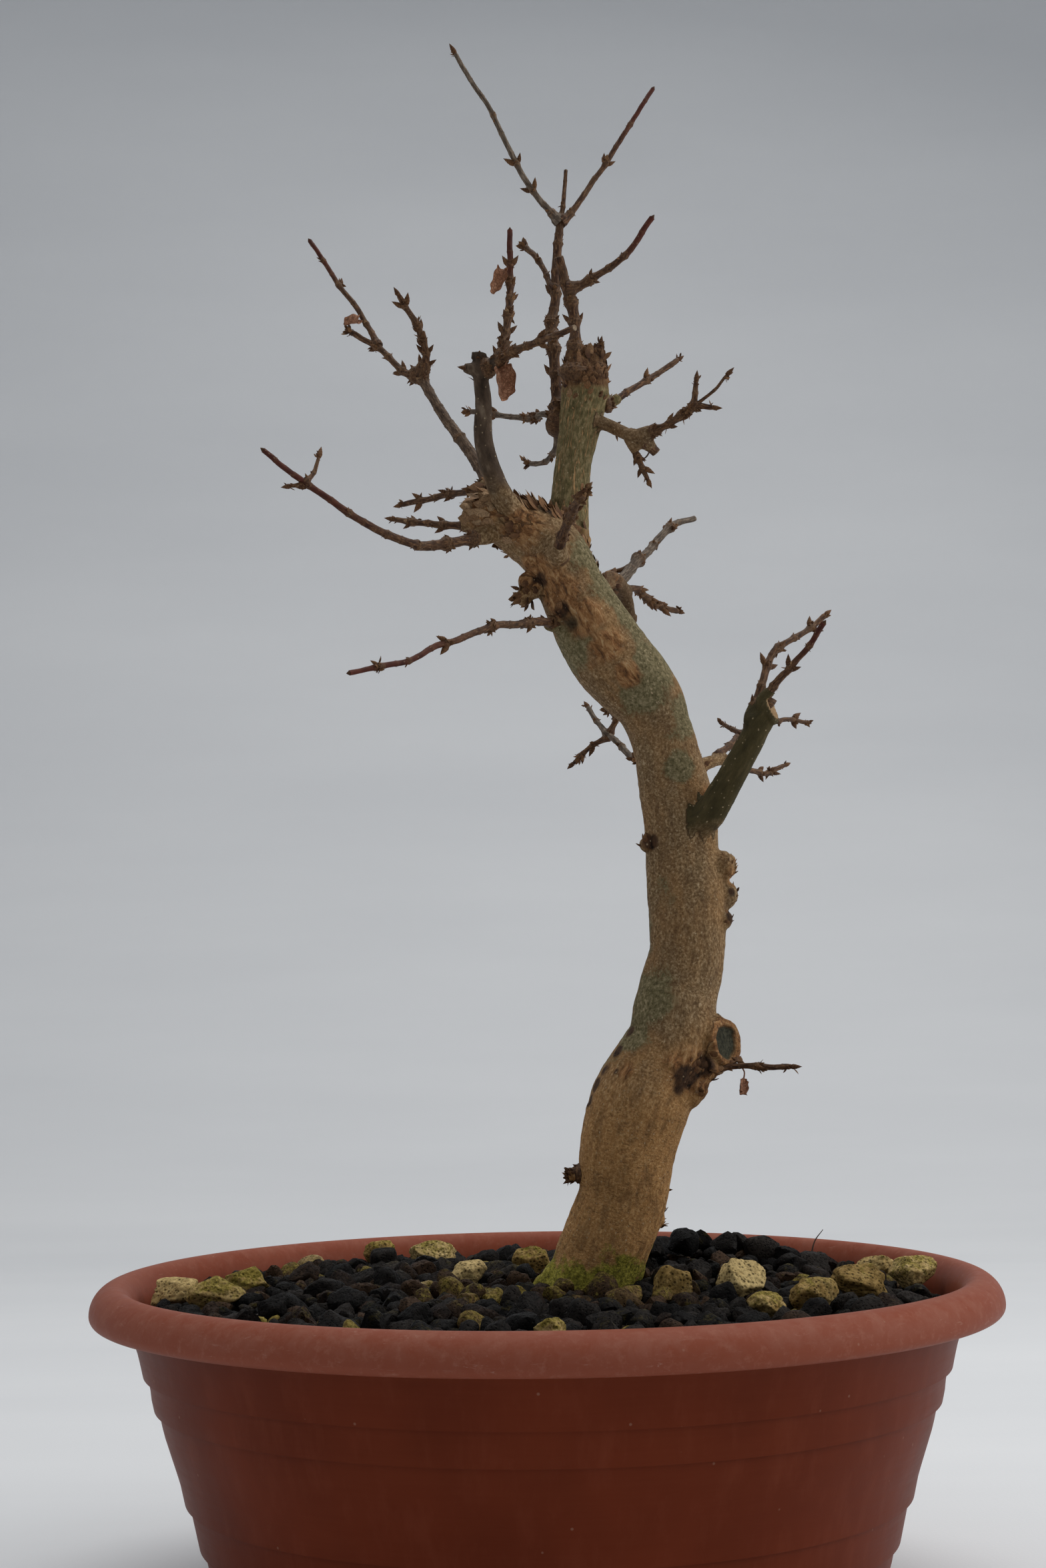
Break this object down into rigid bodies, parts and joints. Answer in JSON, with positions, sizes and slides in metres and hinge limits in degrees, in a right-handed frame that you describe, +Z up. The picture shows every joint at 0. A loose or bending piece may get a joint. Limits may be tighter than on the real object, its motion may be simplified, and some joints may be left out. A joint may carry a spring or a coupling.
{
  "type": "bonsai tree in a pot",
  "caption": "Leafless bonsai tree with a curved trunk, standing in gritty substrate in a round bowl pot with a rolled rim.",
  "frame": {"origin": "middle of the pot's foot, on the surface that the pot stands on", "axes": "+Z up along the pot's axis; the trunk leans towards +X; -Y is the front that the crown faces"},
  "size_m": [0.25, 0.25, 0.4474],
  "materials": {
    "terracotta_plastic": "satin moulded plastic, dusty on the rim",
    "maple_bark": "rough bark, mossy at the foot",
    "grit": "matt fine grit",
    "black_lava": "matt, pitted",
    "mossy_pumice": "matt, with green algae",
    "dry_leaf": "crisp dead leaf",
    "dry_fibre": "matt"
  },
  "bodies": {
    "root": {"pot": "terracotta_plastic", "tree": "maple_bark", "substrate": "grit", "pumice_lump_01": "mossy_pumice", "pumice_lump_02": "mossy_pumice", "pumice_lump_03": "mossy_pumice", "pumice_lump_04": "mossy_pumice", "pumice_lump_05": "mossy_pumice", "pumice_lump_06": "mossy_pumice", "pumice_lump_07": "mossy_pumice", "pumice_lump_08": "mossy_pumice", "pumice_lump_09": "mossy_pumice", "pumice_lump_10": "mossy_pumice", "pumice_lump_11": "mossy_pumice", "pumice_lump_12": "mossy_pumice", "pumice_lump_13": "mossy_pumice", "pumice_lump_14": "mossy_pumice", "pumice_lump_15": "mossy_pumice", "lava_grain_01": "black_lava", "lava_grain_02": "black_lava", "lava_grain_03": "black_lava", "lava_grain_04": "black_lava", "lava_grain_05": "black_lava", "lava_grain_06": "black_lava", "lava_grain_07": "black_lava", "lava_grain_08": "black_lava", "lava_grain_09": "black_lava", "lava_grain_10": "black_lava", "lava_grain_11": "black_lava", "lava_grain_12": "black_lava", "lava_grain_13": "black_lava", "lava_grain_14": "black_lava", "lava_grain_15": "black_lava", "lava_grain_16": "black_lava", "lava_grain_17": "black_lava", "lava_grain_18": "black_lava", "lava_grain_19": "black_lava", "lava_grain_20": "black_lava", "lava_grain_21": "black_lava", "lava_grain_22": "black_lava", "dried_leaf_1": "dry_leaf", "dried_leaf_2": "dry_leaf", "dried_leaf_3": "dry_leaf", "dried_leaf_4": "dry_leaf", "dry_petiole": "dry_fibre", "stray_fibre": "dry_fibre"}
  },
  "joints": []
}
